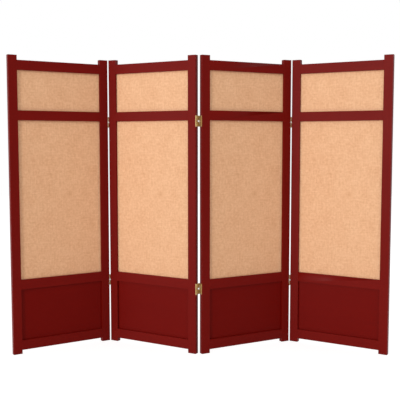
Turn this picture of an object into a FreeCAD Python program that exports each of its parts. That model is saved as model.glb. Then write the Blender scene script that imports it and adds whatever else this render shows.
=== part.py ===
import FreeCAD
import Part
import Sketcher
import math
import os

# Four-panel folding screen, standing in a zigzag, in millimetres.
# A panel is two stiles and four rails, with two cloth fields above a wooden kick panel.
# Two double-acting hinges join each panel to the next, so that it folds either way.
# In a panel's own frame X runs along its width, Y from its front to its back, and Z is up.

SIZES = {
    # A panel
    "panel_height": 1219.2,
    "panel_width": 431.8,
    "panel_thickness": 19.05,
    "stile_width": 36.5,
    "rail_height": 40.0,
    "horn_height": 19.6,
    "foot_height": 15.9,
    "kick_opening": 212.5,
    "upper_opening": 160.8,
    "edge_ease": 0.5,
    # Its tenons, which the stiles' mortises take
    "tenon_length": 22.0,
    "tenon_thickness": 7.0,
    "tenon_shoulder": 8.5,
    "mortise_end_gap": 1.0,
    # What fills it, and the beads behind
    "front_lip": 9.0,
    "rebate_width": 7.0,
    "infill_clearance": 0.4,
    "cloth_thickness": 1.2,
    "kick_thickness": 4.0,
    "bead_setback": 0.8,
    # The double-acting hinges
    "upper_hinge_drop": 3.1,
    "lower_hinge_rise": 2.1,
    "joint_gap": 4.5,
    "front_axis_proud": 0.3,
    "back_axis_proud": 4.0,
    "leaf_height": 44.0,
    "leaf_thickness": 1.2,
    "leaf_setback": 1.5,
    "barrel_diameter": 3.9,
    "knuckle_clearance": 0.3,
    "window_height": 6.8,
    "link_thickness": 2.6,
    "pin_diameter": 2.2,
    "pin_play": 0.06,
    "pin_head_height": 0.9,
    "pin_head_top_diameter": 2.4,
    "pin_head_clearance": 0.2,
    # The hinge screws
    "screw_spacing": 26.0,
    "screw_head_diameter": 5.0,
    "screw_diameter": 2.6,
    "screw_length": 12.7,
    "screw_point_length": 3.0,
    "screw_point_diameter": 0.6,
    # How far each panel is turned from the line of the screen, in degrees
    "heading_1": 31.96,
    "heading_2": -29.79,
    "heading_3": 28.02,
    "heading_4": -30.37,
    # How far a cutting tool runs past the wood
    "overrun": 2.0,
}

doc = FreeCAD.newDocument("folding_screen")
sheet = doc.addObject("Spreadsheet::Sheet", "Sizes")
for row, (alias, value) in enumerate(SIZES.items(), 1):
    sheet.set("A%d" % row, alias)
    sheet.set("B%d" % row, str(value))
    sheet.setAlias("B%d" % row, alias)
doc.recompute()


def size(alias):
    return sheet.get(alias)


def total(*terms):
    return " + ".join("( %s )" % term for term in terms)


def less(first, *others):
    return " - ".join("( %s )" % term for term in (first,) + others)


def half(formula):
    return "( %s ) / 2" % formula


# Levels in a panel
KICK_BOTTOM = total("foot_height", "rail_height")
LOWER_RAIL = total(KICK_BOTTOM, "kick_opening")
MAIN_BOTTOM = total(LOWER_RAIL, "rail_height")
TOP_RAIL = less("panel_height", "horn_height", "rail_height")
UPPER_BOTTOM = less(TOP_RAIL, "upper_opening")
UPPER_RAIL = less(UPPER_BOTTOM, "rail_height")

# The middle of each hinge, below the upper rail's edge and above the lower rail's
HINGE_LEVELS = {
    "upper": less(UPPER_RAIL, "upper_hinge_drop"),
    "lower": total(LOWER_RAIL, "lower_hinge_rise"),
}

# The fields of a panel: name, bottom, top, and the thickness of what fills it
FIELDS = (
    ("kick", KICK_BOTTOM, LOWER_RAIL, "kick_thickness"),
    ("main", MAIN_BOTTOM, UPPER_RAIL, "cloth_thickness"),
    ("upper", UPPER_BOTTOM, TOP_RAIL, "cloth_thickness"),
)

# The rails of a panel: name, level, whether it is rebated below and above
RAILS = (
    ("bottom_rail", "foot_height", False, True),
    ("lower_rail", LOWER_RAIL, True, True),
    ("upper_rail", UPPER_RAIL, True, True),
    ("top_rail", TOP_RAIL, True, False),
)

CLEAR_WIDTH = less("panel_width", "2 * stile_width")
REBATE_EDGE = less("stile_width", "rebate_width")
TENON_HEIGHT = less("rail_height", "2 * tenon_shoulder")
TENON_FRONT = half(less("panel_thickness", "tenon_thickness"))

# The hinge axes, in the frame of a panel that they stand beside
AXIS_AT = {"left": less("0", half("joint_gap")), "right": total("panel_width", half("joint_gap"))}
FRONT_AXIS = less("0", "front_axis_proud")
BACK_AXIS = total("panel_thickness", "back_axis_proud")
BARREL_RADIUS = half("barrel_diameter")
PIN_RADIUS = half("pin_diameter")
HALF_HINGE = half(less("leaf_height", "window_height"))
KNUCKLE_HEIGHT = half(less(HALF_HINGE, "knuckle_clearance"))

# Where a leaf's plate starts and ends across the panel's edge: the left plate from the front
# face, the right plate as far as its pin behind, and both short of the panel's other face
PLATE_SPAN = {
    "left": ("0", less("panel_thickness", "leaf_setback")),
    "right": ("leaf_setback", BACK_AXIS),
}
RECESS_SPAN = {
    "left": (less("0", "overrun"), less("panel_thickness", "leaf_setback")),
    "right": ("leaf_setback", total("panel_thickness", "overrun")),
}

# The panels that each hinge line joins, the pin on which it stands open as the screen is
# set up, and the panel that its links then lie along
PANELS = ("1", "2", "3", "4")
HINGE_LINES = {
    "12": {"left": "1", "right": "2", "open_on": "front", "links_along": "2"},
    "23": {"left": "2", "right": "3", "open_on": "back", "links_along": "2"},
    "34": {"left": "3", "right": "4", "open_on": "front", "links_along": "4"},
}
OTHER_SIDE = {"left": "right", "right": "left"}
HINGED_EDGES = {(joined[side], OTHER_SIDE[side])
                for joined in HINGE_LINES.values() for side in OTHER_SIDE}

# The small round brass pieces have this many sides
SIDE_COUNT = 12

UP = FreeCAD.Vector(0, 0, 1)
ACROSS = FreeCAD.Vector(0, 1, 0)
INWARD = {"left": FreeCAD.Rotation(ACROSS, 90), "right": FreeCAD.Rotation(ACROSS, -90)}
finished = []


def bind(feature, **formulas):
    """Bind properties to formulas in the sheet's words; __ in a name stands for a dot."""
    for name, formula in formulas.items():
        words = ["Sizes." + word if word in SIZES else word for word in formula.split()]
        feature.setExpression(name.replace("__", "."), " ".join(words))
    return feature


def stand(feature, corner):
    return bind(feature, Placement__Base__x=corner[0], Placement__Base__y=corner[1],
                Placement__Base__z=corner[2])


def finish(feature, label, placement):
    """Name a sub-part, stand it where its panel stands, and list it for export."""
    feature.Label = label
    feature.Placement = placement
    finished.append(feature)


# Where the panels stand

# Where the pins are, in the frame of a panel that they stand beside
PIN_ACROSS = {"left": -size("joint_gap") / 2,
              "right": size("panel_width") + size("joint_gap") / 2}
PIN_BACK = {"front": -size("front_axis_proud"),
            "back": size("panel_thickness") + size("back_axis_proud")}


def turned(heading, across, back):
    return FreeCAD.Rotation(UP, heading).multVec(FreeCAD.Vector(across, back, 0))


def panel_placements():
    """Chain the panels out from the second, each about the pin on which it is folded."""
    heading = {number: size("heading_" + number) for number in PANELS}
    corner = {"2": FreeCAD.Vector()}
    for joined in HINGE_LINES.values():
        meeting = {"right": joined["left"], "left": joined["right"]}
        placed, new = sorted(meeting, key=lambda edge: meeting[edge] not in corner)
        back = PIN_BACK[joined["open_on"]]
        pin = corner[meeting[placed]] + turned(heading[meeting[placed]], PIN_ACROSS[placed], back)
        corner[meeting[new]] = pin - turned(heading[meeting[new]], PIN_ACROSS[new], back)
    return {number: FreeCAD.Placement(corner[number], FreeCAD.Rotation(UP, heading[number]))
            for number in PANELS}


# Builders for the wooden pieces

def plane_of(body, role):
    return next(feature for feature in body.Origin.OriginFeatures if feature.Role == role)


def outline(body, role, corners, offset="0"):
    """A closed outline on one of the body's planes, with every corner bound to the sheet."""
    sketch = body.newObject("Sketcher::SketchObject", "outline")
    sketch.AttachmentSupport = [(plane_of(body, role), "")]
    sketch.MapMode = "FlatFace"
    bind(sketch, AttachmentOffset__Base__z=offset)
    count = len(corners)
    points = []
    for index in range(count):
        angle = 2 * math.pi * index / count
        points.append(FreeCAD.Vector(math.cos(angle), math.sin(angle), 0))
    for index in range(count):
        following = (index + 1) % count
        sketch.addGeometry(Part.LineSegment(points[index], points[following]))
    for index in range(count):
        following = (index + 1) % count
        sketch.addConstraint(Sketcher.Constraint("Coincident", index, 2, following, 1))
    for index, corner in enumerate(corners):
        for kind, start, formula in (("DistanceX", points[index].x, corner[0]),
                                     ("DistanceY", points[index].y, corner[1])):
            held = sketch.addConstraint(Sketcher.Constraint(kind, -1, 1, index, 1, start))
            bind(sketch, **{"Constraints[%d]" % held: formula})
    return sketch


def pad(body, sketch, length):
    feature = body.newObject("PartDesign::Pad", "pad")
    feature.Profile = sketch
    return bind(feature, Length=length)


def cut_box(body, name, corner, extent):
    feature = body.newObject("PartDesign::SubtractiveBox", name)
    bind(feature, Length=extent[0], Width=extent[1], Height=extent[2])
    return stand(feature, corner)


def from_edge(side, inset, extent):
    """Where a box starts along X when it lies at an inset from a panel's outer edge."""
    if side == "left":
        return inset
    return less("panel_width", inset, extent)


def inward(side, place, distance):
    """A place's copy, at a distance into the wood from a panel's left or right edge."""
    sign = "1" if side == "left" else "- 1"
    return (total(place[0], "%s * ( %s )" % (sign, distance)), place[1], place[2])


def screw_places(side, level):
    """Where the two screws of one leaf enter a panel's edge."""
    spread = half("screw_spacing")
    return [(from_edge(side, "0", "0"), half("panel_thickness"), height)
            for height in (less(level, spread), total(level, spread))]


# The pieces of a panel

def stile(number, side, placement):
    """An upright with eased outer corners, mortises, stopped rebates and hinge recesses."""
    label = "panel_%s_%s_stile" % (number, side)
    body = doc.addObject("PartDesign::Body", label)
    section = [("0", "edge_ease"), ("edge_ease", "0"), ("stile_width", "0"),
               ("stile_width", "panel_thickness"), ("edge_ease", "panel_thickness"),
               ("0", less("panel_thickness", "edge_ease"))]
    if side == "right":
        section = [(less("panel_width", across), back) for across, back in section]
    blank = pad(body, outline(body, "XY_Plane", section), "panel_height")
    doc.recompute()
    ends = ["Face%d" % count for count, face in enumerate(blank.Shape.Faces, 1)
            if abs(face.normalAt(0, 0).z) > math.sin(math.pi / 4)]
    eased = body.newObject("PartDesign::Chamfer", "eased_ends")
    eased.Base = (blank, ends)
    bind(eased, Size="edge_ease")
    depth = total("tenon_length", "mortise_end_gap")
    for name, level, *edges in RAILS:
        reach = total(depth, "overrun")
        cut_box(body, name + "_mortise",
                (from_edge(side, less("stile_width", depth), reach), TENON_FRONT,
                 total(level, "tenon_shoulder")),
                (reach, "tenon_thickness", TENON_HEIGHT))
    for name, bottom, top, *filling in FIELDS:
        reach = total("rebate_width", "overrun")
        cut_box(body, name + "_rebate",
                (from_edge(side, REBATE_EDGE, reach), "front_lip",
                 less(bottom, "rebate_width")),
                (reach, total(less("panel_thickness", "front_lip"), "overrun"),
                 total(less(top, bottom), "2 * rebate_width")))
    if (number, side) in HINGED_EDGES:
        recess_and_drill(body, side)
    finish(body, label, placement)


def recess_and_drill(body, side):
    """Recesses that hold the leaves flush, and pilot holes for the screws."""
    reach = total("leaf_thickness", "overrun")
    start, end = RECESS_SPAN[OTHER_SIDE[side]]
    for name, level in HINGE_LEVELS.items():
        cut_box(body, name + "_leaf_recess",
                (from_edge(side, less("0", "overrun"), reach), start,
                 less(level, half("leaf_height"))),
                (reach, less(end, start), "leaf_height"))
        for place in screw_places(side, level):
            hole = body.newObject("PartDesign::SubtractivePrism", name + "_pilot_hole")
            hole.Polygon = SIDE_COUNT
            hole.Placement.Rotation = INWARD[side]
            bind(hole, Circumradius=half("screw_diameter"),
                 Height=less("screw_length", "leaf_thickness"))
            stand(hole, inward(side, place, "leaf_thickness"))


def rail(number, name, level, below, above, placement):
    """A crosspiece with a rebate behind each edge that meets a field, and two tenons."""
    label = "panel_%s_%s" % (number, name)
    body = doc.addObject("PartDesign::Body", label)
    top = total(level, "rail_height")
    section = [("0", level)]
    if below:
        notch = total(level, "rebate_width")
        section += [("front_lip", level), ("front_lip", notch), ("panel_thickness", notch)]
    else:
        section += [("panel_thickness", level)]
    if above:
        notch = less(top, "rebate_width")
        section += [("panel_thickness", notch), ("front_lip", notch), ("front_lip", top)]
    else:
        section += [("panel_thickness", top)]
    section += [("0", top)]
    pad(body, outline(body, "YZ_Plane", section, "stile_width"), CLEAR_WIDTH)
    tenon_back = total(TENON_FRONT, "tenon_thickness")
    tenon_bottom = total(level, "tenon_shoulder")
    tenon_top = less(top, "tenon_shoulder")
    tenon = [(TENON_FRONT, tenon_bottom), (tenon_back, tenon_bottom),
             (tenon_back, tenon_top), (TENON_FRONT, tenon_top)]
    pad(body, outline(body, "YZ_Plane", tenon, less("stile_width", "tenon_length")),
        total(CLEAR_WIDTH, "2 * tenon_length"))
    finish(body, label, placement)


def infill(label, bottom, top, thickness, placement):
    """A flat sheet or board that lies in the rebates, against the front lip."""
    inset = total(REBATE_EDGE, "infill_clearance")
    body = doc.addObject("PartDesign::Body", label)
    low = total(less(bottom, "rebate_width"), "infill_clearance")
    high = less(total(top, "rebate_width"), "infill_clearance")
    back = total("front_lip", thickness)
    section = [("front_lip", low), (back, low), (back, high), ("front_lip", high)]
    pad(body, outline(body, "YZ_Plane", section, inset), less("panel_width", "2 * ( %s )" % inset))
    finish(body, label, placement)


def beads(number, placement):
    """Four strips behind each field, which press its sheet against the front lip."""
    strips = []
    for name, bottom, top, thickness in FIELDS:
        front = total("front_lip", thickness)
        depth = less("panel_thickness", "bead_setback", front)
        low = less(bottom, "rebate_width")
        tall = total(less(top, bottom), "2 * rebate_width")
        for side in OTHER_SIDE:
            strips.append(box("%s_%s_bead" % (name, side),
                              (from_edge(side, REBATE_EDGE, "rebate_width"), front, low),
                              ("rebate_width", depth, tall)))
        for level in (low, top):
            strips.append(box(name + "_cross_bead", ("stile_width", front, level),
                              (CLEAR_WIDTH, depth, "rebate_width")))
    group = doc.addObject("Part::Compound", "beads")
    group.Links = strips
    finish(group, "panel_%s_back_beads" % number, placement)


def panel(number, placement):
    for side in OTHER_SIDE:
        stile(number, side, placement)
    for name, level, below, above in RAILS:
        rail(number, name, level, below, above, placement)
    for name, bottom, top, thickness in FIELDS:
        kind = "board" if name == "kick" else "cloth"
        infill("panel_%s_%s_%s" % (number, name, kind), bottom, top, thickness, placement)
    beads(number, placement)


# Builders for the brass pieces

def box(name, corner, extent):
    feature = doc.addObject("Part::Box", name)
    bind(feature, Length=extent[0], Width=extent[1], Height=extent[2])
    return stand(feature, corner)


def rod(name, start, radius, height):
    feature = doc.addObject("Part::Prism", name)
    feature.Polygon = SIDE_COUNT
    bind(feature, Circumradius=radius, Height=height)
    return stand(feature, start)


def lengthwise(name, ends, radii, rotation=None):
    """A round or tapered piece between two places, with a radius at each."""
    rings = []
    for place, radius in zip(ends, radii):
        ring = doc.addObject("Part::RegularPolygon", name + "_ring")
        ring.Polygon = SIDE_COUNT
        if rotation:
            ring.Placement.Rotation = rotation
        rings.append(stand(bind(ring, Circumradius=radius), place))
    feature = doc.addObject("Part::Loft", name)
    feature.Sections = rings
    feature.Solid = True
    feature.Ruled = True
    return feature


def fused(name, pieces):
    feature = doc.addObject("Part::MultiFuse", name)
    feature.Shapes = pieces
    feature.Refine = True
    return feature


def pierced(name, pieces, holes):
    feature = doc.addObject("Part::Cut", name)
    feature.Base = fused(name + "_solid", pieces)
    feature.Tool = fused(name + "_holes", holes)
    return feature


# The pieces of a hinge line, with its upper and its lower hinge in each

def leaves(line, side, placement):
    """Flush plates with two knuckles each: front knuckles on the left panel, back on the right."""
    edge = OTHER_SIDE[side]
    axis = AXIS_AT[edge]
    axis_back = FRONT_AXIS if side == "left" else BACK_AXIS
    plate_across = from_edge(edge, "0", "leaf_thickness")
    start, end = PLATE_SPAN[side]
    metal = []
    holes = []
    for level in HINGE_LEVELS.values():
        low = less(level, half("leaf_height"))
        metal.append(box("plate", (plate_across, start, low),
                         ("leaf_thickness", less(end, start), "leaf_height")))
        for knuckle in (low, less(total(level, half("leaf_height")), KNUCKLE_HEIGHT)):
            metal.append(rod("knuckle", (axis, axis_back, knuckle), BARREL_RADIUS,
                             KNUCKLE_HEIGHT))
            if side == "left":
                metal.append(box("tab", ("panel_width", "0", knuckle),
                                 (half("joint_gap"), "leaf_thickness", KNUCKLE_HEIGHT)))
            else:
                rim = total(BACK_AXIS, BARREL_RADIUS)
                metal.append(box("strap", (axis, less(rim, "leaf_thickness"), knuckle),
                                 (total(half("joint_gap"), "leaf_thickness"),
                                  "leaf_thickness", KNUCKLE_HEIGHT)))
                metal.append(box("turn_in", ("0", end, knuckle),
                                 ("leaf_thickness", BARREL_RADIUS, KNUCKLE_HEIGHT)))
            holes.append(rod("pin_hole", (axis, axis_back, knuckle),
                             total(PIN_RADIUS, "pin_play"), KNUCKLE_HEIGHT))
        for place in screw_places(edge, level):
            holes.append(lengthwise("countersink", (place, inward(edge, place, "leaf_thickness")),
                                    (half("screw_head_diameter"), half("screw_diameter")),
                                    INWARD[edge]))
    label = "hinge_%s_%s_leaves" % (line, side)
    finish(pierced(label, metal, holes), label, placement)


def screws(line, side, placement):
    """Countersunk wood screws, with heads that fill the countersinks."""
    edge = OTHER_SIDE[side]
    shank_radius = half("screw_diameter")
    stages = (("head", "0", "leaf_thickness", half("screw_head_diameter"), shank_radius),
              ("shank", "leaf_thickness", less("screw_length", "screw_point_length"),
               shank_radius, shank_radius),
              ("point", less("screw_length", "screw_point_length"), "screw_length",
               shank_radius, half("screw_point_diameter")))
    pieces = []
    for level in HINGE_LEVELS.values():
        for place in screw_places(edge, level):
            for name, first, last, first_radius, last_radius in stages:
                ends = (inward(edge, place, first), inward(edge, place, last))
                pieces.append(lengthwise(name, ends, (first_radius, last_radius), INWARD[edge]))
    label = "hinge_%s_%s_screws" % (line, side)
    finish(fused(label, pieces), label, placement)


def links(line, axis, placement):
    """Plates between the leaves, two to a hinge, with a lug on the front pin and the back."""
    metal = []
    holes = []
    start = less(axis, half("link_thickness"))
    clear = total(BARREL_RADIUS, "knuckle_clearance")
    for level in HINGE_LEVELS.values():
        plates = {less(level, half("leaf_height")):
                  less(level, half("window_height"), KNUCKLE_HEIGHT),
                  total(level, half("window_height")):
                  total(level, half("window_height"))}
        for low, lug in plates.items():
            metal.append(box("plate", (start, total(FRONT_AXIS, clear), low),
                             ("link_thickness", less(BACK_AXIS, FRONT_AXIS, "2 * ( %s )" % clear),
                              HALF_HINGE)))
            metal.append(box("lug_arm", (start, FRONT_AXIS, lug),
                             ("link_thickness", less(BACK_AXIS, FRONT_AXIS), KNUCKLE_HEIGHT)))
            for axis_back in (FRONT_AXIS, BACK_AXIS):
                metal.append(rod("lug", (axis, axis_back, lug), BARREL_RADIUS, KNUCKLE_HEIGHT))
                holes.append(rod("pin_seat", (axis, axis_back, lug), PIN_RADIUS,
                                 KNUCKLE_HEIGHT))
    label = "hinge_%s_links" % line
    finish(pierced(label, metal, holes), label, placement)


def pins(line, axis, placement):
    """A front pin and a back pin to each hinge, with a spread head at either end."""
    pieces = []
    for level in HINGE_LEVELS.values():
        low = less(level, half("leaf_height"), "pin_head_clearance")
        high = total(level, half("leaf_height"), "pin_head_clearance")
        for axis_back in (FRONT_AXIS, BACK_AXIS):
            pieces.append(rod("shaft", (axis, axis_back, low), PIN_RADIUS, less(high, low)))
            for seat, tip in ((low, less(low, "pin_head_height")),
                              (high, total(high, "pin_head_height"))):
                pieces.append(lengthwise("head", ((axis, axis_back, seat), (axis, axis_back, tip)),
                                         (BARREL_RADIUS, half("pin_head_top_diameter"))))
    label = "hinge_%s_pins" % line
    finish(fused(label, pieces), label, placement)


def hinge_line(line, joined, placement):
    for side in OTHER_SIDE:
        leaves(line, side, placement[joined[side]])
        screws(line, side, placement[joined[side]])
    along = joined["links_along"]
    axis = AXIS_AT["left" if along == joined["right"] else "right"]
    links(line, axis, placement[along])
    pins(line, axis, placement[along])


# Build the screen, then stand its base's centre on the origin

placement = panel_placements()
for number in PANELS:
    panel(number, placement[number])
for line, joined in HINGE_LINES.items():
    hinge_line(line, joined, placement)
doc.recompute()

box_of_all = FreeCAD.BoundBox()
for feature in finished:
    box_of_all.add(feature.Shape.BoundBox)
to_centre = FreeCAD.Vector(-box_of_all.Center.x, -box_of_all.Center.y, 0)
for feature in finished:
    feature.Placement.Base = feature.Placement.Base + to_centre
doc.recompute()

# Check every object and every sub-part, then write them

for feature in doc.Objects:
    if "Invalid" in feature.State or "Error" in feature.State:
        raise RuntimeError("%s did not build: %s" % (feature.Label, feature.State))
for feature in finished:
    if feature.Shape.isNull() or not feature.Shape.isValid() or not feature.Shape.Solids:
        raise RuntimeError("%s has no sound shape" % feature.Label)

os.makedirs("parts", exist_ok=True)
for feature in finished:
    feature.Shape.exportStep("parts/%s.step" % feature.Label)

print("sub-parts %d, solids %d" % (len(finished), sum(len(f.Shape.Solids) for f in finished)))
print("size %.2f x %.2f x %.2f" % (box_of_all.XLength, box_of_all.YLength, box_of_all.ZLength))
for line, joined in HINGE_LINES.items():
    along = joined["links_along"]
    edge = "left" if along == joined["right"] else "right"
    for name, back in PIN_BACK.items():
        pin = placement[along].multVec(FreeCAD.Vector(PIN_ACROSS[edge], back, 0)) + to_centre
        print("hinge %s %s axis at %.4f %.4f" % (line, name, pin.x, pin.y))
for number in PANELS:
    corner = placement[number].Base + to_centre
    print("panel %s corner at %.4f %.4f" % (number, corner.x, corner.y))
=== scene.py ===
import math

import bmesh
import bpy
from mathutils import Euler, Matrix, Vector


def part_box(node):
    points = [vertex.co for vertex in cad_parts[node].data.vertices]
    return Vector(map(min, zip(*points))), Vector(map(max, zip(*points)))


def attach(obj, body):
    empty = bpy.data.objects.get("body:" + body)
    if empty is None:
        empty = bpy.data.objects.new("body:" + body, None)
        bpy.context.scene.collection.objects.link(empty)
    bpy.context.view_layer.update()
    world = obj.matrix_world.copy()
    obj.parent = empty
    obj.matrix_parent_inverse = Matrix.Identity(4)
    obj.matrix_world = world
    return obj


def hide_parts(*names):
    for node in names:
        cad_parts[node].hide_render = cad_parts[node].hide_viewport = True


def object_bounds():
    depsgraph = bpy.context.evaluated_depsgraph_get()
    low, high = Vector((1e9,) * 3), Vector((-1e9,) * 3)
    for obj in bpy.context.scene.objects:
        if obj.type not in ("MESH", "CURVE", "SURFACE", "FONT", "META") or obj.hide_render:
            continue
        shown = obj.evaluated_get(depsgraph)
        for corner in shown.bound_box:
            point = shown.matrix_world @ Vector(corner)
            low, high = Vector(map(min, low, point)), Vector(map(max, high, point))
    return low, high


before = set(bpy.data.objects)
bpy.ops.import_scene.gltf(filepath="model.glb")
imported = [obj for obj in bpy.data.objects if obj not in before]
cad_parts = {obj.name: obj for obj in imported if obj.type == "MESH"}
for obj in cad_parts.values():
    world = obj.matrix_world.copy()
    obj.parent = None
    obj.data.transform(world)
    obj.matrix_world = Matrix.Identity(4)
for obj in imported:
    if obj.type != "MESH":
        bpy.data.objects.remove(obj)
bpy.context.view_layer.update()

# Four-panel folding screen: red-lacquered frames, jute fields and brass double-acting hinges.
# In a panel's own frame X runs along its width, Y from its front to its back, and Z is up.

MM = 0.001

# The panels, as the frame of solids has them
PANEL_WIDTH = 431.8 * MM
PANEL_THICKNESS = 19.05 * MM
STILE_WIDTH = 36.5 * MM
FRONT_LIP = 9.0 * MM
REBATE_WIDTH = 7.0 * MM
INFILL_CLEARANCE = 0.4 * MM
KICK_THICKNESS = 4.0 * MM
SOLID_CLOTH = 1.2 * MM
BEAD_SETBACK = 0.8 * MM
BEAD_FACE = PANEL_THICKNESS - BEAD_SETBACK
BEAD_MIDDLE = REBATE_WIDTH / 2

# How the wood's edges are eased: edges that turn by more than the angle are rounded
WELD_DISTANCE = 0.01 * MM
EDGE_ROUND = 0.3 * MM
EDGE_SEGMENTS = 3
EASED_ANGLE = math.radians(60)

# The jute, with the half-waves of its slack across and up a sheet
CLOTH_THICKNESS = 0.9 * MM
CLOTH_STEP = 6.0 * MM
CLOTH_SLACK = 0.12 * MM
SLACK_WAVES = (9, 14)
SLACK_DRIFT = (2.1, 1.7)
THREAD_PITCH = 1.7 * MM

# The hinges
HINGE_HEIGHT = 44.0 * MM
WINDOW_HEIGHT = 6.8 * MM
JOINT_GAP = 4.5 * MM
FRONT_AXIS = -0.3 * MM
BACK_AXIS = PANEL_THICKNESS + 4.0 * MM
LEAF_THICKNESS = 1.2 * MM
LEAF_SETBACK = 1.5 * MM
LINK_THICKNESS = 2.6 * MM
BARREL_RADIUS = 1.95 * MM
PIN_RADIUS = 1.1 * MM
PIN_PLAY = 0.06 * MM
KNUCKLE_BORE = PIN_RADIUS + PIN_PLAY
KNUCKLE_CLEARANCE = 0.3 * MM
HALF_HINGE = (HINGE_HEIGHT - WINDOW_HEIGHT) / 2
KNUCKLE_HEIGHT = (HALF_HINGE - KNUCKLE_CLEARANCE) / 2
PIN_HEAD_GAP = 0.2 * MM
PIN_HEAD_HEIGHT = 0.9 * MM
PIN_HEAD_TURNS = (0, 0.35, 0.7, 1.05, 1.35)

# The screws: the crown and the tip are shares of the radius, and a slot turns with its height,
# by so many radians a metre, so that no two line up
SCREW_SPACING = 26.0 * MM
SCREW_HEAD_RADIUS = 2.5 * MM
SCREW_RADIUS = 1.3 * MM
SCREW_LENGTH = 12.7 * MM
SCREW_POINT = 3.0 * MM
SCREW_DOME = 0.12 * MM
SCREW_SEAT = 0.04 * MM
SCREW_CROWN = 0.82
SCREW_TIP = 0.3
SLOT_WIDTH = 0.8 * MM
SLOT_DEPTH = 0.6 * MM
SLOT_SEGMENTS = 12
SLOT_TURN = 211

# The brads that hold the beads behind the fields, sunk as deep as they stand proud
BRAD_RADIUS = 0.8 * MM
BRAD_PROUD = 0.15 * MM
BRAD_PROFILE = [(BRAD_RADIUS, 0), (BRAD_RADIUS, 1.5 * BRAD_PROUD),
                (0.6 * BRAD_RADIUS, 2 * BRAD_PROUD)]
BRAD_SPACING = 150.0 * MM
BRAD_FROM_END = 22.0 * MM

# How all the brass is made: faces that meet at more than the angle keep a sharp line
METAL_ROUND = 0.25 * MM
ROUND_SEGMENTS = 28
SHARP_ANGLE = math.radians(38)

# The panels from left to right, and the three hinge lines between them. A line's links are drawn
# in the frame of the panel along whose edge they lie. The middle line stands at the front.
PANELS = ("1", "2", "3", "4")
LEFT_PANEL = {"12": "1", "23": "2", "34": "3"}
RIGHT_PANEL = {"12": "2", "23": "3", "34": "4"}
LINKS_ALONG = {"12": "2", "23": "2", "34": "4"}
FRONT_LINE = "23"
SIDES = ("left", "right")
RAILS = ("bottom_rail", "lower_rail", "upper_rail", "top_rail")
CLOTH_FIELDS = ("main", "upper")

# Colours, as linear red, green and blue
RED_LACQUER = (0.176, 0.0030, 0.0007)
DARK_LACQUER = (0.158, 0.0023, 0.0005)
PORE_LACQUER = (0.105, 0.0014, 0.0004)
# Lighter red along the edges: rubbed lacquer and a painted highlight
RUBBED_AND_HIGHLIT_LACQUER = (0.24, 0.012, 0.005)
BOARD_LACQUER = (0.160, 0.0021, 0.0003)
BOARD_SHADE = (0.152, 0.0018, 0.0003)
JUTE_PALE = (0.95, 0.578, 0.320)
JUTE_DEEP = (0.68, 0.312, 0.142)
BRASS = (0.62, 0.45, 0.21)
BRASS_TARNISH = (0.42, 0.285, 0.115)
# Darker brass and tarnish for the hinges in the folds between panels: painted shade
PAINTED_SHADE_BRASS = (0.37, 0.235, 0.12)
PAINTED_SHADE_TARNISH = (0.26, 0.155, 0.078)
WHITE = (1.0, 1.0, 1.0)

# The lacquer: gloss, main colour and shade of the frames and of the boards and beads
FRAME_FINISH = (0.082, RED_LACQUER, DARK_LACQUER)
BOARD_FINISH = (0.065, BOARD_LACQUER, BOARD_SHADE)
LACQUER_ROUGHNESS = 0.39
LACQUER_RELIEF = 0.05 * MM
GRAIN_SHADE = {"broad": 0.6, "fine": 0.4}
GRAIN_HEIGHT = {"fine": 0.6, "pores": -0.5}
BLOTCH_DULLING = 0.04
SPECK_DULLING = 0.03
SPECK_HEIGHT = 0.15
PORE_DARKENING = 0.35
# How far the lighter edges of the lacquer reach and how strong they are: rubbed lacquer and a
# painted highlight
LACQUER_WEAR_AND_HIGHLIGHT = {"Reach": 1.2 * MM, "Amount": 0.6}

# The jute: how much threads, blotches, flecks and the gaps of the weave shade it
JUTE_SHADE = {"threads": 0.52, "blotches": 0.14, "flecks": 0.28, "gaps": 0.35}
SLUB_DARKENING = 0.35
SLUB_SMOOTHING = 0.10
JUTE_ROUGHNESS = 0.72
JUTE_GLOSS = 0.75
JUTE_SHEEN = 0.08
JUTE_SHEEN_ROUGHNESS = 0.6
WEAVE_RELIEF = 0.35 * MM
WEAVE_STRENGTH = 0.8
THREAD_WANDER = 0.5 * MM

# The brass: roughness, metal and tarnish of each finish. The front line has the plain brass, and
# the two lines in the folds between panels have darker brass, painted shade for the shade between
# the panels.
BRASS_FINISHES = {
    "brass_plate": (0.56, BRASS, BRASS_TARNISH),
    "brass_turned": (0.52, BRASS, BRASS_TARNISH),
    "painted_shade_brass_plate": (0.60, PAINTED_SHADE_BRASS, PAINTED_SHADE_TARNISH),
    "painted_shade_brass_turned": (0.56, PAINTED_SHADE_BRASS, PAINTED_SHADE_TARNISH),
}
BRASS_POLISH = 0.08
BRASS_RELIEF = 0.02 * MM
# How far the bright edges of the brass reach and how strong they are: rubbed tarnish and a painted
# highlight
BRASS_WEAR_AND_HIGHLIGHT = {"Reach": 0.5 * MM, "Amount": 0.6}
TARNISH_AMOUNT = 0.55
TARNISH_DULLING = 0.25
DRAWING_DULLING = 0.12

# How fine each noise is along X, Y and Z, or all round, in cells a metre
BROAD_GRAIN = (2.2, 26, 26)
FINE_GRAIN = (9, 260, 260)
GRAIN_PORES = (38, 900, 900)
WARP_SLUBS = (620, 1, 34)
WEFT_SLUBS = (34, 1, 620)
WARP_TONE = (280, 1, 22)
WEFT_TONE = (26, 1, 280)
DRAWING_LINES = (2600, 2600, 60)
WEAR_AND_HIGHLIGHT_SCALE = 45.0
SPECK_SCALE = 1400.0
WANDER_SCALE = 55.0
FLECK_SCALE = 105.0
LACQUER_BLOTCHES = 7.0
JUTE_BLOTCHES = 16.0
BRASS_BLOTCHES = 260.0

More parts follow.
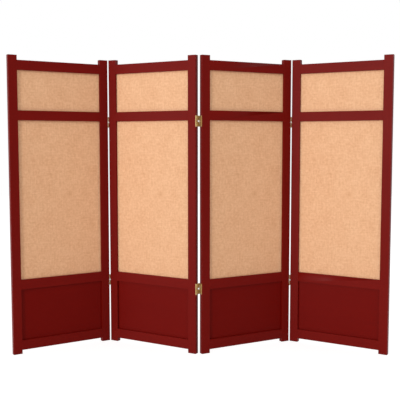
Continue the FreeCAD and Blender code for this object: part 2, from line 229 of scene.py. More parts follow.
# Where a noise, a thread's height or the turn of an edge begins to count and where it counts fully
SOFT_SPAN = (0.34, 0.68)
FINE_SPAN = (0.30, 0.72)
PORE_SPAN = (0.60, 0.74)
WEAR_AND_HIGHLIGHT_SPAN = (0.40, 0.62)
SPECK_SPAN = (0.30, 0.70)
TONE_SPAN = (0.30, 0.70)
FLECK_SPAN = (0.36, 0.64)
SLUB_SPAN = (0.55, 0.75)
CROSSING_SPAN = (-0.15, 0.15)
GAP_SPAN = (0.25, 0.02)
EDGE_SPAN = (0.99, 0.86)

# The Mix node's sockets, which share their names between its kinds of data
MIX_FACTOR, MIX_FIRST, MIX_SECOND, MIX_RESULT = 0, 6, 7, 2


def middle(node):
    low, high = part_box(node)
    return (Vector(low) + Vector(high)) / 2


def heights(node):
    low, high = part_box(node)
    return low[2], high[2]


def panel_frame(number):
    """The matrix that takes a panel's own frame to the object's, read from its kick board."""
    board = "panel_%s_kick_board" % number
    faces = [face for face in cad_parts[board].data.polygons if face.normal.y < 0]
    front = max(faces, key=lambda face: face.area).normal
    turn = Matrix.Rotation(math.atan2(front.x, -front.y), 4, "Z")
    centre = middle(board)
    centre.z = heights("panel_%s_left_stile" % number)[0]
    own_centre = Vector((PANEL_WIDTH / 2, FRONT_LIP + KICK_THICKNESS / 2, 0))
    return Matrix.Translation(centre - turn @ own_centre) @ turn


PANEL_FRAME = {number: panel_frame(number) for number in PANELS}


# Shader helpers

def new_material(name, metallic=0.0):
    """A material with one Principled shader, its node tree and that shader."""
    material = bpy.data.materials.new(name)
    material.use_nodes = True
    shader = material.node_tree.nodes["Principled BSDF"]
    shader.inputs["Metallic"].default_value = metallic
    return material, material.node_tree, shader


def add(tree, kind, **values):
    """A node with its properties and, by name, its unlinked inputs set."""
    node = tree.nodes.new(kind)
    for name, value in values.items():
        if hasattr(node, name):
            setattr(node, name, value)
        else:
            node.inputs[name].default_value = value
    return node


def feed(tree, socket, value):
    """Give a socket a number, a colour or another node's output."""
    if isinstance(value, (int, float)):
        socket.default_value = value
    elif isinstance(value, tuple):
        socket.default_value = value + (1,)
    else:
        tree.links.new(value, socket)


def maths(tree, operation, *values):
    node = add(tree, "ShaderNodeMath", operation=operation)
    for socket, value in zip(node.inputs, values):
        feed(tree, socket, value)
    return node.outputs[0]


def weighed(tree, *shares):
    """The sum of several values, each taken by its own amount."""
    parts = [maths(tree, "MULTIPLY", value, amount) for value, amount in shares]
    total = parts[0]
    for part in parts[1:]:
        total = maths(tree, "ADD", total, part)
    return total


def mean(tree, first, second):
    return weighed(tree, (first, 0.5), (second, 0.5))


def blended(tree, factor, first, second):
    """A colour between two."""
    node = add(tree, "ShaderNodeMix", data_type="RGBA")
    for place, value in ((MIX_FACTOR, factor), (MIX_FIRST, first), (MIX_SECOND, second)):
        feed(tree, node.inputs[place], value)
    return node.outputs[MIX_RESULT]


def ramp(tree, value, span):
    """The value, stretched so that the span's start gives 0 and its end gives 1."""
    node = tree.nodes.new("ShaderNodeMapRange")
    node.inputs["From Min"].default_value = span[0]
    node.inputs["From Max"].default_value = span[1]
    tree.links.new(value, node.inputs["Value"])
    return node.outputs["Result"]


def object_place(tree):
    """Coordinates that stay with the piece, in metres."""
    return tree.nodes.new("ShaderNodeTexCoord").outputs["Object"]


def noise(tree, vector, scale=1.0, detail=2.0, distortion=0.0):
    node = add(tree, "ShaderNodeTexNoise", Scale=scale, Detail=detail, Distortion=distortion)
    tree.links.new(vector, node.inputs["Vector"])
    return node.outputs["Fac"]


def stretched(tree, vector, scale):
    """The coordinates, drawn out along an axis by a smaller scale."""
    node = add(tree, "ShaderNodeMapping", Scale=scale)
    tree.links.new(vector, node.inputs["Vector"])
    return node.outputs["Vector"]


def new_group(name, inputs, outputs):
    """A shader node group with named sockets, and its input and output nodes."""
    group = bpy.data.node_groups.new(name, "ShaderNodeTree")
    for direction, sockets in (("INPUT", inputs), ("OUTPUT", outputs)):
        for label, kind in sockets:
            group.interface.new_socket(label, in_out=direction, socket_type="NodeSocket" + kind)
    return group, group.nodes.new("NodeGroupInput"), group.nodes.new("NodeGroupOutput")


# Effects that several finishes share

def make_wood_grain():
    """Streaks along X: a mask of darker grain, a mask of fine pores and a height."""
    group, given, put = new_group(
        "wood_grain", [("Vector", "Vector")],
        [("Streaks", "Float"), ("Pores", "Float"), ("Height", "Float")])
    vector = given.outputs["Vector"]
    broad = noise(group, stretched(group, vector, BROAD_GRAIN), detail=3.0, distortion=0.6)
    fine = noise(group, stretched(group, vector, FINE_GRAIN), distortion=0.2)
    pores = ramp(group, noise(group, stretched(group, vector, GRAIN_PORES), detail=1.0), PORE_SPAN)
    streaks = weighed(group, (ramp(group, broad, SOFT_SPAN), GRAIN_SHADE["broad"]),
                      (ramp(group, fine, FINE_SPAN), GRAIN_SHADE["fine"]))
    height = weighed(group, (fine, GRAIN_HEIGHT["fine"]), (pores, GRAIN_HEIGHT["pores"]))
    group.links.new(streaks, put.inputs["Streaks"])
    group.links.new(pores, put.inputs["Pores"])
    group.links.new(height, put.inputs["Height"])
    return group


def make_rubbed_and_highlit_edges():
    """A mask of the edges, broken up by noise, where a finish is made lighter: partly rubbed thin,
    partly a painted highlight.
    """
    group, given, put = new_group(
        "rubbed_and_highlit_edges", [("Vector", "Vector"), ("Reach", "Float"), ("Amount", "Float")],
        [("Mask", "Float")])
    rounded = add(group, "ShaderNodeBevel", samples=6)
    group.links.new(given.outputs["Reach"], rounded.inputs["Radius"])
    surface = group.nodes.new("ShaderNodeNewGeometry")
    facing = add(group, "ShaderNodeVectorMath", operation="DOT_PRODUCT")
    group.links.new(rounded.outputs["Normal"], facing.inputs[0])
    group.links.new(surface.outputs["Normal"], facing.inputs[1])
    edge = ramp(group, facing.outputs["Value"], EDGE_SPAN)
    # The noise that breaks up the lighter edges, which are partly rubbed and partly a painted
    # highlight
    rubbed = ramp(group, noise(group, given.outputs["Vector"], WEAR_AND_HIGHLIGHT_SCALE, detail=4.0), WEAR_AND_HIGHLIGHT_SPAN)
    mask = maths(group, "MULTIPLY", maths(group, "MULTIPLY", edge, rubbed), given.outputs["Amount"])
    group.links.new(mask, put.inputs["Mask"])
    return group


def make_handling():
    """Soft blotches where hands and dust have dulled a finish."""
    group, given, put = new_group("handling", [("Vector", "Vector"), ("Scale", "Float")],
                                  [("Blotches", "Float"), ("Specks", "Float")])
    broad = add(group, "ShaderNodeTexNoise", Detail=3.0, Roughness=0.55)
    group.links.new(given.outputs["Vector"], broad.inputs["Vector"])
    group.links.new(given.outputs["Scale"], broad.inputs["Scale"])
    specks = noise(group, given.outputs["Vector"], SPECK_SCALE, detail=1.0)
    group.links.new(ramp(group, broad.outputs["Fac"], SOFT_SPAN), put.inputs["Blotches"])
    group.links.new(ramp(group, specks, SPECK_SPAN), put.inputs["Specks"])
    return group


EFFECTS = {"wood_grain": make_wood_grain(), "rubbed_and_highlit_edges": make_rubbed_and_highlit_edges(),
           "handling": make_handling()}


def effect(tree, name, vector, **values):
    """One of the shared effects, placed in a material with its own values."""
    node = tree.nodes.new("ShaderNodeGroup")
    node.node_tree = EFFECTS[name]
    tree.links.new(vector, node.inputs["Vector"])
    for label, value in values.items():
        node.inputs[label].default_value = value
    return node.outputs


def bump(tree, shader, height, distance, strength=1.0):
    node = add(tree, "ShaderNodeBump", Distance=distance, Strength=strength)
    tree.links.new(height, node.inputs["Height"])
    tree.links.new(node.outputs["Normal"], shader.inputs["Normal"])


# The finishes

def red_lacquer(name, grain_turn, finish):
    """Satin red lacquer, thin enough for the grain to telegraph; grain_turn lays X along it."""
    gloss, colour, shade = finish
    material, tree, shader = new_material(name)
    place = object_place(tree)
    along = add(tree, "ShaderNodeMapping", Rotation=grain_turn)
    tree.links.new(place, along.inputs["Vector"])
    grain = effect(tree, "wood_grain", along.outputs["Vector"])
    handled = effect(tree, "handling", place, Scale=LACQUER_BLOTCHES)
    rubbed_and_highlit = effect(tree, "rubbed_and_highlit_edges", place, **LACQUER_WEAR_AND_HIGHLIGHT)
    pores = maths(tree, "MULTIPLY", grain["Pores"], PORE_DARKENING)
    colour = blended(tree, grain["Streaks"], colour, shade)
    colour = blended(tree, pores, colour, PORE_LACQUER)
    # Lighter edges: rubbed lacquer and a painted highlight
    colour = blended(tree, rubbed_and_highlit["Mask"], colour, RUBBED_AND_HIGHLIT_LACQUER)
    tree.links.new(colour, shader.inputs["Base Color"])
    dulled = weighed(tree, (handled["Blotches"], BLOTCH_DULLING),
                     (handled["Specks"], SPECK_DULLING))
    rough = maths(tree, "ADD", dulled, LACQUER_ROUGHNESS)
    tree.links.new(rough, shader.inputs["Roughness"])
    shader.inputs["Specular IOR Level"].default_value = gloss
    specks = maths(tree, "MULTIPLY", handled["Specks"], SPECK_HEIGHT)
    bump(tree, shader, maths(tree, "ADD", grain["Height"], specks), LACQUER_RELIEF)
    return material


def jute():
    """Plain-woven jute: threads over and under, slubs, and threads of their own shade."""
    material, tree, shader = new_material("jute_cloth")
    place = object_place(tree)
    wander = add(tree, "ShaderNodeTexNoise", Scale=WANDER_SCALE, Detail=2.0)
    tree.links.new(place, wander.inputs["Vector"])
    moved = add(tree, "ShaderNodeVectorMath", operation="MULTIPLY_ADD")
    tree.links.new(wander.outputs["Color"], moved.inputs[0])
    moved.inputs[1].default_value = (THREAD_WANDER,) * 3
    tree.links.new(place, moved.inputs[2])
    parts = tree.nodes.new("ShaderNodeSeparateXYZ")
    tree.links.new(moved.outputs[0], parts.inputs[0])
    across, upward = [
        maths(tree, "SINE", maths(tree, "MULTIPLY", parts.outputs[axis], math.pi / THREAD_PITCH))
        for axis in ("X", "Z")]
    over = ramp(tree, maths(tree, "MULTIPLY", across, upward), CROSSING_SPAN)
    warp_slubs, weft_slubs = [
        noise(tree, stretched(tree, place, fineness), detail=3.0)
        for fineness in (WARP_SLUBS, WEFT_SLUBS)]
    warp_tone, weft_tone = [
        noise(tree, stretched(tree, place, fineness)) for fineness in (WARP_TONE, WEFT_TONE)]
    warp = maths(tree, "MULTIPLY", maths(tree, "ABSOLUTE", across), warp_slubs)
    weft = maths(tree, "MULTIPLY", maths(tree, "ABSOLUTE", upward), weft_slubs)
    thread = blended(tree, over, warp, weft)
    tone = mean(tree, ramp(tree, warp_tone, TONE_SPAN), ramp(tree, weft_tone, TONE_SPAN))
    slubs = mean(tree, ramp(tree, warp_slubs, SLUB_SPAN), ramp(tree, weft_slubs, SLUB_SPAN))
    handled = effect(tree, "handling", place, Scale=JUTE_BLOTCHES)
    flecks = ramp(tree, noise(tree, place, FLECK_SCALE, detail=3.0), FLECK_SPAN)
    gaps = ramp(tree, thread, GAP_SPAN)
    shade = weighed(tree, (tone, JUTE_SHADE["threads"]),
                    (handled["Blotches"], JUTE_SHADE["blotches"]),
                    (flecks, JUTE_SHADE["flecks"]), (gaps, JUTE_SHADE["gaps"]))
    colour = blended(tree, shade, JUTE_PALE, JUTE_DEEP)
    colour = blended(tree, maths(tree, "MULTIPLY", slubs, SLUB_DARKENING), colour, JUTE_DEEP)
    tree.links.new(colour, shader.inputs["Base Color"])
    smoothed = maths(tree, "MULTIPLY", slubs, SLUB_SMOOTHING)
    rough = maths(tree, "SUBTRACT", JUTE_ROUGHNESS, smoothed)
    tree.links.new(rough, shader.inputs["Roughness"])
    shader.inputs["Specular IOR Level"].default_value = JUTE_GLOSS
    shader.inputs["Sheen Weight"].default_value = JUTE_SHEEN
    shader.inputs["Sheen Roughness"].default_value = JUTE_SHEEN_ROUGHNESS
    bump(tree, shader, thread, WEAVE_RELIEF, WEAVE_STRENGTH)
    return material


def brass(name, roughness, metal, tarnish):
    """Drawn brass, gone a little dark where it isn't rubbed."""
    material, tree, shader = new_material(name, metallic=1.0)
    place = object_place(tree)
    handled = effect(tree, "handling", place, Scale=BRASS_BLOTCHES)
    rubbed_and_highlit = effect(tree, "rubbed_and_highlit_edges", place, **BRASS_WEAR_AND_HIGHLIGHT)
    drawn = noise(tree, stretched(tree, place, DRAWING_LINES))
    dark = maths(tree, "MULTIPLY", handled["Blotches"], TARNISH_AMOUNT)
    colour = blended(tree, dark, metal, tarnish)
    # Bright metal along the edges: rubbed tarnish and a painted highlight
    colour = blended(tree, rubbed_and_highlit["Mask"], colour, metal)
    tree.links.new(colour, shader.inputs["Base Color"])
    dulled = weighed(tree, (dark, TARNISH_DULLING), (drawn, DRAWING_DULLING))
    rough = maths(tree, "ADD", dulled, roughness - BRASS_POLISH)
    tree.links.new(rough, shader.inputs["Roughness"])
    bump(tree, shader, drawn, BRASS_RELIEF)
    return material


# Mesh helpers: every piece is gathered in one mesh, in its panel's own frame

def add_block(mesh, low, high):
    """A block of metal between two corners, with its edges broken."""
    low, high = Vector(low), Vector(high)
    size = Matrix.Diagonal((*(high - low), 1.0))
    place = Matrix.Translation((low + high) / 2) @ size
    corners = bmesh.ops.create_cube(mesh, size=1.0, matrix=place)["verts"]
    edges = list(dict.fromkeys(edge for corner in corners for edge in corner.link_edges))
    bmesh.ops.bevel(mesh, geom=edges, offset=METAL_ROUND, segments=2, profile=0.5, affect="EDGES")


def on_circle(radius, angle, height):
    return Vector((radius * math.cos(angle), radius * math.sin(angle), height))


def add_turned(mesh, profile, place, closed=False):
    """A turned form: its profile's (radius, height) points swept about the place's Z axis."""
    rings = []
    for radius, height in profile:
        ring = []
        for step in range(ROUND_SEGMENTS):
            point = on_circle(radius, 2 * math.pi * step / ROUND_SEGMENTS, height)
            ring.append(mesh.verts.new(place @ point))
        rings.append(ring)
    pairs = list(zip(rings, rings[1:]))
    if closed:
        pairs.append((rings[-1], rings[0]))
    for lower, upper in pairs:
        for step in range(ROUND_SEGMENTS):
            following = (step + 1) % ROUND_SEGMENTS
            mesh.faces.new((lower[step], lower[following], upper[following], upper[step]))
    if not closed:
        mesh.faces.new(list(reversed(rings[0])))
        mesh.faces.new(rings[-1])


def add_tube(mesh, axis, low, bore):
    """A knuckle or lug: a tube with broken edges, from its low end up."""
    across, back = axis
    shoulder = BARREL_RADIUS - METAL_ROUND
    profile = [(bore, 0), (shoulder, 0), (BARREL_RADIUS, METAL_ROUND),
               (BARREL_RADIUS, KNUCKLE_HEIGHT - METAL_ROUND), (shoulder, KNUCKLE_HEIGHT),
               (bore, KNUCKLE_HEIGHT)]
    add_turned(mesh, profile, Matrix.Translation((across, back, low)), closed=True)


def new_object(name, mesh):
    """An object made from a gathered mesh, which is used up."""
    data = bpy.data.meshes.new(name)
    mesh.to_mesh(data)
    mesh.free()
    made = bpy.data.objects.new(name, data)
    bpy.context.scene.collection.objects.link(made)
    return made


def piece(name, mesh, number, material, body, replaced=()):
    """Turn a gathered mesh into a piece that stands in its panel's frame and rides on a body."""
    bmesh.ops.recalc_face_normals(mesh, faces=mesh.faces)
    made = new_object(name, mesh)
    made.matrix_world = PANEL_FRAME[number]
    made.data.materials.append(material)
    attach(made, body)
    if replaced:
        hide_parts(*replaced)
    return made


def smooth(made):
    """Shade a piece's rounds smooth, and leave its flats to meet in a line."""
    made.data.shade_smooth()
    made.data.set_sharp_from_angle(angle=SHARP_ANGLE)


def drilled(blank, drill):
    """The blank with the drill's forms taken out of it, as mesh data."""
    for mesh in (blank, drill):
        bmesh.ops.recalc_face_normals(mesh, faces=mesh.faces)
    blank, drill = new_object("blank", blank), new_object("drill", drill)
    holes = blank.modifiers.new("holes", "BOOLEAN")
    holes.operation = "DIFFERENCE"
    holes.object = drill
    holes.solver = "EXACT"
    graph = bpy.context.evaluated_depsgraph_get()
    result = bpy.data.meshes.new_from_object(blank.evaluated_get(graph))
    for made in (blank, drill):
        bpy.data.objects.remove(made)
    return result


# The wood

def finish_wood():
    """Lacquer the frames' own solids, each with its grain along its length, and ease the edges."""
    upright = (0, math.radians(90), 0)
    stile_finish = red_lacquer("red_lacquer_stiles", upright, FRAME_FINISH)
    bead_finish = red_lacquer("red_lacquer_beads", upright, BOARD_FINISH)
    for number in PANELS:
        level = (0, 0, -PANEL_FRAME[number].to_euler().z)
        rail_finish = red_lacquer("red_lacquer_rails_" + number, level, FRAME_FINISH)
        board_finish = red_lacquer("red_lacquer_board_" + number, level, BOARD_FINISH)
        for side in SIDES:
            lacquer_node("panel_%s_%s_stile" % (number, side), stile_finish)
        for name in RAILS:
            lacquer_node("panel_%s_%s" % (number, name), rail_finish)
        lacquer_node("panel_%s_kick_board" % number, board_finish)
        lacquer_node("panel_%s_back_beads" % number, bead_finish)


def lacquer_node(node, material):
    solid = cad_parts[node]
    for slot in solid.material_slots:
        slot.material = material
    weld = solid.modifiers.new("welded", "WELD")
    weld.merge_threshold = WELD_DISTANCE
    bevel = solid.modifiers.new("eased_edges", "BEVEL")
    bevel.width = EDGE_ROUND
    bevel.segments = EDGE_SEGMENTS
    bevel.limit_method = "ANGLE"
    bevel.angle_limit = EASED_ANGLE
    bevel.harden_normals = True


# The jute fields

def jute_fields(material):
    for number in PANELS:
        for name in CLOTH_FIELDS:
            jute_sheet(number, name, material)


def slack(right, up):
    """How far a stretched sheet leaves its plane, nothing at its held edges."""
    held = math.sin(math.pi * right) * math.sin(math.pi * up)
    pull = (math.sin(SLACK_WAVES[0] * math.pi * right + SLACK_DRIFT[0] * up)
            + math.sin(SLACK_WAVES[1] * math.pi * up + SLACK_DRIFT[1] * right))
    return CLOTH_SLACK * held * pull / 2


def jute_sheet(number, name, material):
    """A sheet stretched in its rebates, a little slack between the threads' pull."""
    node = "panel_%s_%s_cloth" % (number, name)
    bottom, top = heights(node)
    inset = STILE_WIDTH - REBATE_WIDTH + INFILL_CLEARANCE
    width = PANEL_WIDTH - 2 * inset
    length = top - bottom
    across = round(width / CLOTH_STEP)
    upward = round(length / CLOTH_STEP)
    middle_depth = FRONT_LIP + SOLID_CLOTH / 2
    mesh = bmesh.new()
    rows = []
    for row in range(upward + 1):
        points = []
        for column in range(across + 1):
            right, up = column / across, row / upward
            depth = middle_depth + slack(right, up)
            points.append(mesh.verts.new((inset + width * right, depth, bottom + length * up)))
        rows.append(points)
    for lower, upper in zip(rows, rows[1:]):
        for column in range(across):
            mesh.faces.new((lower[column], lower[column + 1], upper[column + 1], upper[column]))
    made = piece("panel_%s_%s_jute" % (number, name), mesh, number, material,
                 "panel_" + number, (node,))
    made.data.shade_smooth()
    thick = made.modifiers.new("thickness", "SOLIDIFY")
    thick.thickness = CLOTH_THICKNESS
    thick.offset = 0


# The brads behind the fields

def brads(material):
    """Brad heads along the beads, as the back of such a frame has them."""
    facing_back = Matrix.Rotation(math.radians(-90), 4, "X")
    for number in PANELS:
        mesh = bmesh.new()
        for x, z in brad_places(number):
            place = Matrix.Translation((x, BEAD_FACE - BRAD_PROUD, z))
            add_turned(mesh, BRAD_PROFILE, place @ facing_back)
        smooth(piece("panel_%s_brads" % number, mesh, number, material,
                     "panel_" + number))


def brad_places(number):
    """Where the brads are: evenly along the upright beads and along the cross beads."""
    inset = STILE_WIDTH - BEAD_MIDDLE
    levels = [heights("panel_%s_%s" % (number, rail)) for rail in RAILS]
    for below, above in zip(levels, levels[1:]):
        bottom, top = below[1], above[0]
        for z in evenly(bottom, top):
            for x in (inset, PANEL_WIDTH - inset):
                yield x, z
        for x in evenly(STILE_WIDTH, PANEL_WIDTH - STILE_WIDTH):
            for z in (bottom - BEAD_MIDDLE, top + BEAD_MIDDLE):
                yield x, z


def evenly(start, end):
    """Places between two ends, near the brads' own spacing."""
    first, last = start + BRAD_FROM_END, end - BRAD_FROM_END
    count = max(1, round((last - first) / BRAD_SPACING))
    return [first + (last - first) * step / count for step in range(count + 1)]


# The hinges

def hinge_levels(line):
    """The middle height of each hinge on a line, read from the line's links."""
    low, high = heights("hinge_%s_links" % line)
    return low + HINGE_HEIGHT / 2, high - HINGE_HEIGHT / 2


def knuckle_ends(level):
    """The bottoms of a leaf's two knuckles, at the ends of the hinge."""
    return level - HINGE_HEIGHT / 2, level + HINGE_HEIGHT / 2 - KNUCKLE_HEIGHT


def screw_heights(level):
    return level - SCREW_SPACING / 2, level + SCREW_SPACING / 2


def into_edge(start, inward, height):
    """A place on a panel's edge at half its thickness, with Z into the wood."""
    return (Matrix.Translation((start, PANEL_THICKNESS / 2, height))
            @ Matrix.Rotation(math.radians(90) * inward, 4, "Y"))


def leaf_plate(mesh, start, inward, span, level):
    """A plate let into a panel's edge, with a countersunk hole for each screw."""
    blank = bmesh.new()
    across = sorted((start, start + inward * LEAF_THICKNESS))
    add_block(blank, (across[0], span[0], level - HINGE_HEIGHT / 2),
              (across[1], span[1], level + HINGE_HEIGHT / 2))
    drill = bmesh.new()
    head, shank = SCREW_HEAD_RADIUS + SCREW_SEAT, SCREW_RADIUS + SCREW_SEAT
    countersink = [(head, -LEAF_THICKNESS), (head, 0), (shank, LEAF_THICKNESS),
                   (shank, 2 * LEAF_THICKNESS)]
    for height in screw_heights(level):
        add_turned(drill, countersink, into_edge(start, inward, height))
    plate = drilled(blank, drill)
    mesh.from_mesh(plate)
    bpy.data.meshes.remove(plate)


def left_leaves(line, material):
    """Plates let into the left panel's edge, with their knuckles on the front pin."""
    number = LEFT_PANEL[line]
    axis = (PANEL_WIDTH + JOINT_GAP / 2, FRONT_AXIS)
    mesh = bmesh.new()
    for level in hinge_levels(line):
        leaf_plate(mesh, PANEL_WIDTH, -1, (0, PANEL_THICKNESS - LEAF_SETBACK), level)
        for low in knuckle_ends(level):
            add_block(mesh, (PANEL_WIDTH - LEAF_THICKNESS / 2, 0, low),
                      (axis[0] - PIN_RADIUS, LEAF_THICKNESS, low + KNUCKLE_HEIGHT))
            add_tube(mesh, axis, low, KNUCKLE_BORE)
    node = "hinge_%s_left_leaves" % line
    smooth(piece(node + "_brass", mesh, number, material,
                 "panel_" + number, (node,)))


def right_leaves(line, material):
    """Plates let into the right panel's edge, that run back to their knuckles on the back pin."""
    number = RIGHT_PANEL[line]
    axis = (-JOINT_GAP / 2, BACK_AXIS)
    rim = BACK_AXIS + BARREL_RADIUS
    mesh = bmesh.new()
    for level in hinge_levels(line):
        leaf_plate(mesh, 0, 1, (LEAF_SETBACK, BACK_AXIS), level)
        for low in knuckle_ends(level):
            corner = (LEAF_THICKNESS, rim, low + KNUCKLE_HEIGHT)
            add_block(mesh, (0, BACK_AXIS - LEAF_THICKNESS, low), corner)
            add_block(mesh, (axis[0], rim - LEAF_THICKNESS / 2, low), corner)
            add_tube(mesh, axis, low, KNUCKLE_BORE)
    node = "hinge_%s_right_leaves" % line
    smooth(piece(node + "_brass", mesh, number, material,
                 "panel_" + number, (node,)))


def link_axis(line):
    """How far along its panel's frame a line's links and pins stand."""
    number = LINKS_ALONG[line]
    return -JOINT_GAP / 2 if number == RIGHT_PANEL[line] else PANEL_WIDTH + JOINT_GAP / 2


def links(line, material):
    """Plates between the leaves, above and below the window, with a lug on either pin."""
    across = link_axis(line)
    clear = BARREL_RADIUS + KNUCKLE_CLEARANCE
    half = LINK_THICKNESS / 2
    mesh = bmesh.new()
    for level in hinge_levels(line):
        for low, lug in ((level - HINGE_HEIGHT / 2, level - WINDOW_HEIGHT / 2 - KNUCKLE_HEIGHT),
                         (level + WINDOW_HEIGHT / 2, level + WINDOW_HEIGHT / 2)):
            add_block(mesh, (across - half, FRONT_AXIS + clear, low),
                      (across + half, BACK_AXIS - clear, low + HALF_HINGE))
            for axis, toward in ((FRONT_AXIS, 1), (BACK_AXIS, -1)):
                reach = sorted((axis + toward * PIN_RADIUS, axis + toward * 2 * clear))
                add_block(mesh, (across - half, reach[0], lug),
                          (across + half, reach[1], lug + KNUCKLE_HEIGHT))
                add_tube(mesh, (across, axis), lug, PIN_RADIUS)
    node = "hinge_%s_links" % line
    smooth(piece(node + "_brass", mesh, LINKS_ALONG[line], material,
                 "link_" + line, (node,)))


def pins(line, material):
    """A front and a back pin to each hinge, with domed heads."""
    across = link_axis(line)
    reach = HINGE_HEIGHT / 2 + PIN_HEAD_GAP
    dome = [(BARREL_RADIUS * math.cos(turn), reach + PIN_HEAD_HEIGHT * math.sin(turn))
            for turn in PIN_HEAD_TURNS]
    upper = [(PIN_RADIUS, reach)] + dome
    profile = [(radius, -height) for radius, height in reversed(upper)] + upper
    mesh = bmesh.new()
    for level in hinge_levels(line):
        for axis in (FRONT_AXIS, BACK_AXIS):
            add_turned(mesh, profile, Matrix.Translation((across, axis, level)))
    node = "hinge_%s_pins" % line
    smooth(piece(node + "_brass", mesh, LINKS_ALONG[line], material,
                 "link_" + line, (node,)))


def add_screw(mesh, place, turn):
    """A countersunk screw: two halves of a head beside its slot, on a tapered body."""
    place = place @ Matrix.Rotation(turn, 4, "Z")
    taper = (SCREW_HEAD_RADIUS - SCREW_RADIUS) * SLOT_DEPTH / LEAF_THICKNESS
    floor_radius = SCREW_HEAD_RADIUS - taper
    body = [(floor_radius, SLOT_DEPTH), (SCREW_RADIUS, LEAF_THICKNESS),
            (SCREW_RADIUS, SCREW_LENGTH - SCREW_POINT), (SCREW_TIP * SCREW_RADIUS, SCREW_LENGTH)]
    head = [(SCREW_CROWN * SCREW_HEAD_RADIUS, -SCREW_DOME), (SCREW_HEAD_RADIUS, 0),
            (floor_radius, SLOT_DEPTH)]
    add_turned(mesh, body, place)
    for half in (place, place @ Matrix.Rotation(math.pi, 4, "Z")):
        rings = []
        for radius, height in head:
            first = math.asin(SLOT_WIDTH / 2 / radius)
            ring = []
            for step in range(SLOT_SEGMENTS + 1):
                angle = first + (math.pi - 2 * first) * step / SLOT_SEGMENTS
                ring.append(mesh.verts.new(half @ on_circle(radius, angle, height)))
            rings.append(ring)
        for upper, lower in zip(rings, rings[1:]):
            for step in range(SLOT_SEGMENTS + 1):
                following = (step + 1) % (SLOT_SEGMENTS + 1)
                mesh.faces.new((upper[step], upper[following], lower[following], lower[step]))
        mesh.faces.new(rings[0])
        mesh.faces.new(rings[-1])


def screws(line, side, material):
    """Slotted countersunk screws, their heads flush with the leaf."""
    number, start, inward = ((LEFT_PANEL[line], PANEL_WIDTH, -1) if side == "left"
                             else (RIGHT_PANEL[line], 0, 1))
    mesh = bmesh.new()
    for level in hinge_levels(line):
        for height in screw_heights(level):
            add_screw(mesh, into_edge(start, inward, height), height * SLOT_TURN)
    node = "hinge_%s_%s_screws" % (line, side)
    smooth(piece(node + "_slotted", mesh, number, material,
                 "panel_" + number, (node,)))


# The studio: pale floor, soft lamps, and the camera where the photographer stood

# Where each lamp stands, its size in metres and its power in watts
SOFTBOXES = {
    "key_softbox": (Vector((-11.5, -7.6, 1.0)), (6.2, 2.0), 280.0),
    "front_softbox": (Vector((-6.4, -9.5, 4.0)), (1.35, 1.35), 395.0),
    "back_softbox": (Vector((1.6, 2.6, 2.2)), (1.4, 1.4), 24.0),
}
OBJECT_MIDDLE = Vector((0, 0, 0.6))
AMBIENT = (0.685,) * 3

# The floor's colour as it lights the object, and as it is seen, beside its own glow
FLOOR_COLOUR = (0.85, 0.85, 0.85)
FLOOR_SEEN = (0.30, 0.30, 0.30)
FLOOR_GLOW = 0.86
FLOOR_RADIUS = 9.0
FLOOR_SEGMENTS = 96
FLOOR_DROP = 0.1 * MM

# The camera, its lens in millimetres and its tilt in degrees from straight down
CAMERA_PLACE = (-0.0015, -3.0527, 0.8759)
CAMERA_TILT = 85.366
CAMERA_LENS = 65.57
SENSOR_WIDTH = 36.0


def seen_directly(tree):
    """1 for rays from the camera, a mirror or a pane, and 0 for light on the object."""
    path = tree.nodes.new("ShaderNodeLightPath")
    direct = maths(tree, "MAXIMUM", path.outputs["Is Camera Ray"], path.outputs["Is Glossy Ray"])
    return maths(tree, "MAXIMUM", direct, path.outputs["Is Transmission Ray"])


def softbox(name, place, size, power):
    light = bpy.data.lights.new(name, "AREA")
    light.shape = "RECTANGLE"
    light.size, light.size_y = size
    light.energy = power
    lamp = bpy.data.objects.new(name, light)
    lamp.location = place
    lamp.rotation_euler = (OBJECT_MIDDLE - place).to_track_quat("-Z", "Y").to_euler()
    bpy.context.scene.collection.objects.link(lamp)


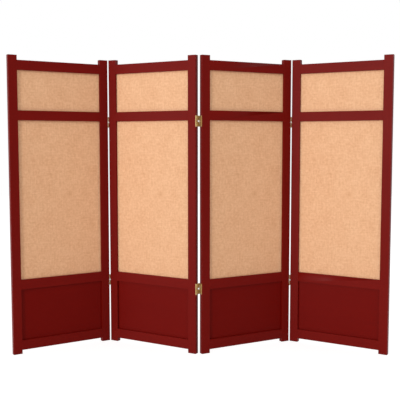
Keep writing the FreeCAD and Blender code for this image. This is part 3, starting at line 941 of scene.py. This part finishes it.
def white_world():
    world = bpy.data.worlds.new("studio")
    bpy.context.scene.world = world
    world.use_nodes = True
    tree = world.node_tree
    light = blended(tree, seen_directly(tree), AMBIENT, WHITE)
    tree.links.new(light, tree.nodes["Background"].inputs["Color"])


def white_floor():
    mesh = bmesh.new()
    bmesh.ops.create_circle(mesh, cap_ends=True, segments=FLOOR_SEGMENTS, radius=FLOOR_RADIUS)
    floor = new_object("studio_floor", mesh)
    floor.location.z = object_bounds()[0][2] - FLOOR_DROP
    material, tree, shader = new_material("studio_floor")
    shader.inputs["Roughness"].default_value = 1.0
    shader.inputs["Specular IOR Level"].default_value = 0.0
    shader.inputs["Emission Color"].default_value = WHITE + (1,)
    seen = seen_directly(tree)
    tree.links.new(blended(tree, seen, FLOOR_COLOUR, FLOOR_SEEN), shader.inputs["Base Color"])
    glow = maths(tree, "MULTIPLY", seen, FLOOR_GLOW)
    tree.links.new(glow, shader.inputs["Emission Strength"])
    floor.data.materials.append(material)


def camera():
    lens = bpy.data.cameras.new("camera")
    lens.lens = CAMERA_LENS
    lens.sensor_width = SENSOR_WIDTH
    eye = bpy.data.objects.new("camera", lens)
    eye.location = CAMERA_PLACE
    eye.rotation_euler = Euler((math.radians(CAMERA_TILT), 0, 0))
    bpy.context.scene.collection.objects.link(eye)
    bpy.context.scene.camera = eye


def build_screen():
    finish_wood()
    jute_fields(jute())
    finishes = {name: brass(name, *values) for name, values in BRASS_FINISHES.items()}
    brads(finishes["brass_turned"])
    for line in LEFT_PANEL:
        # The hinges in the folds between panels take the darker brass: painted shade
        painted_shade = "" if line == FRONT_LINE else "painted_shade_"
        plate, turned = finishes[painted_shade + "brass_plate"], finishes[painted_shade + "brass_turned"]
        left_leaves(line, plate)
        right_leaves(line, plate)
        links(line, plate)
        pins(line, turned)
        for side in SIDES:
            screws(line, side, turned)


def light_and_frame():
    white_world()
    white_floor()
    for name, (place, size, power) in SOFTBOXES.items():
        softbox(name, place, size, power)
    camera()
    bpy.context.scene.view_settings.view_transform = "Standard"


build_screen()
light_and_frame()
